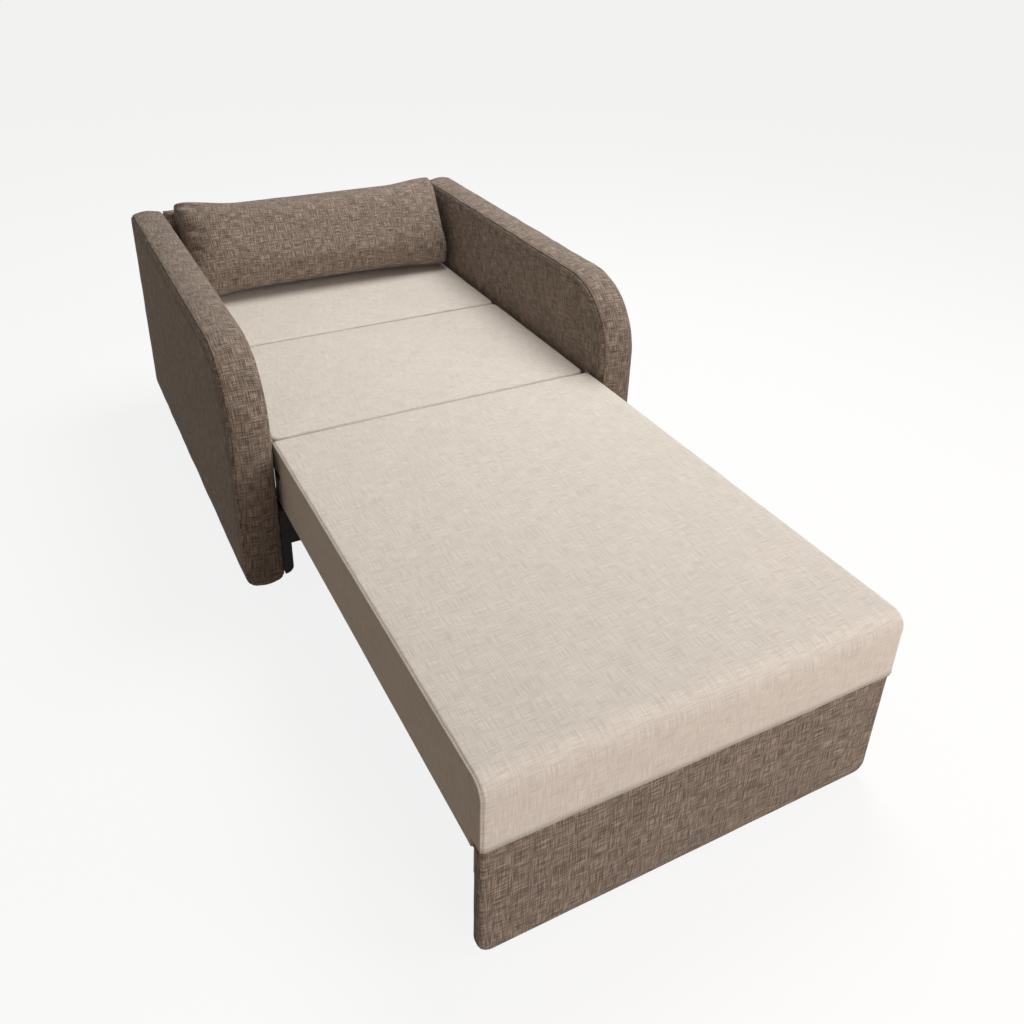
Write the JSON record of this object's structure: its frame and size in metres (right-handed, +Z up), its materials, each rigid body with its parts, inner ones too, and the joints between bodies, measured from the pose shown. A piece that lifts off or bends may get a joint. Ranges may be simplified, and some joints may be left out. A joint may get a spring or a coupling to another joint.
{
  "type": "convertible chair bed",
  "caption": "Upholstered armchair whose accordion mattress pulls out on castors into a single bed, with padded side arms and a loose back pillow.",
  "frame": {"origin": "on the floor, under the middle of the overall width and length, pulled out", "axes": "+Z up, +Y along the bed towards the back, +X to the right seen from the foot end"},
  "size_m": [1.004, 2.07, 0.6512],
  "materials": {
    "arm_fabric": "matt linen-look weave",
    "mattress_fabric": "matt linen-look weave",
    "frame_wood": "raw",
    "hinge_steel": "zinc plated",
    "glide_nylon": "matt",
    "black_plastic": "matt"
  },
  "bodies": {
    "base": {"arm_cover_left": "arm_fabric", "arm_cover_right": "arm_fabric", "back_cover": "arm_fabric", "front_stretcher": "arm_fabric", "side_rail_left": "arm_fabric", "side_rail_right": "arm_fabric", "arm_sheet_left": "frame_wood", "arm_sheet_right": "frame_wood", "arm_frame_left": "frame_wood", "arm_frame_right": "frame_wood", "back_board": "frame_wood", "bearer_left": "frame_wood", "bearer_right": "frame_wood", "middle_stretcher": "frame_wood", "rear_stretcher": "frame_wood", "glide_strip_left": "glide_nylon", "glide_strip_right": "glide_nylon", "foot_front_left": "black_plastic", "foot_front_right": "black_plastic", "foot_rear_left": "black_plastic", "foot_rear_right": "black_plastic", "rear_pivot_left": "hinge_steel", "rear_pivot_right": "hinge_steel"},
    "rear_section": {"rear_pad": "mattress_fabric", "rear_board": "frame_wood", "rear_plate_left": "hinge_steel", "rear_plate_right": "hinge_steel"},
    "middle_section": {"middle_pad": "mattress_fabric", "middle_board": "frame_wood", "middle_plate_left": "hinge_steel", "middle_plate_right": "hinge_steel", "middle_packer_left": "hinge_steel", "middle_packer_right": "hinge_steel", "elbow_pin_left": "hinge_steel", "elbow_pin_right": "hinge_steel", "seam_pin_left": "hinge_steel", "seam_pin_right": "hinge_steel"},
    "seat_section": {"seat_pad": "mattress_fabric", "seat_apron": "mattress_fabric", "seat_side_left": "mattress_fabric", "seat_side_right": "mattress_fabric", "front_panel": "arm_fabric", "front_board": "frame_wood", "seat_platform": "frame_wood", "seat_batten_left": "frame_wood", "seat_batten_right": "frame_wood", "castor_post_left": "frame_wood", "castor_post_right": "frame_wood", "seat_plate_left": "hinge_steel", "seat_plate_right": "hinge_steel", "castor_fork_left": "hinge_steel", "castor_fork_right": "hinge_steel", "castor_axle_left": "hinge_steel", "castor_axle_right": "hinge_steel"},
    "pillow": {"pillow": "arm_fabric"},
    "wheel_left": {"castor_wheel_left": "black_plastic"},
    "wheel_right": {"castor_wheel_right": "black_plastic"}
  },
  "joints": [
    {"name": "fold", "type": "hinge", "parent": "base", "child": "rear_section", "pos_m": [0, 0.995, 0.377], "axis": [-1, 0, 0], "range_deg": [0, 90]},
    {"name": "middle_fold", "type": "hinge", "parent": "rear_section", "child": "middle_section", "pos_m": [0, 0.495, 0.301], "axis": [1, 0, 0], "range_deg": [0, 180]},
    {"name": "seat_fold", "type": "hinge", "parent": "middle_section", "child": "seat_section", "pos_m": [0, -0.005, 0.377], "axis": [-1, 0, 0], "range_deg": [0, 90]},
    {"name": "pillow_slide", "type": "slide", "parent": "middle_section", "child": "pillow", "axis": [0, -1, 0], "range_m": [0, 0.771]},
    {"name": "wheel_left_spin", "type": "hinge", "parent": "seat_section", "child": "wheel_left", "pos_m": [-0.33, -0.959, 0.025], "axis": [1, 0, 0], "continuous": true},
    {"name": "wheel_right_spin", "type": "hinge", "parent": "seat_section", "child": "wheel_right", "pos_m": [0.33, -0.959, 0.025], "axis": [1, 0, 0], "continuous": true}
  ],
  "couplings": [
    {"joint": "middle_fold", "follows": "fold", "ratio": 2},
    {"joint": "seat_fold", "follows": "fold", "ratio": 1},
    {"joint": "pillow_slide", "follows": "fold", "m_per_rad": 0.49083}
  ]
}
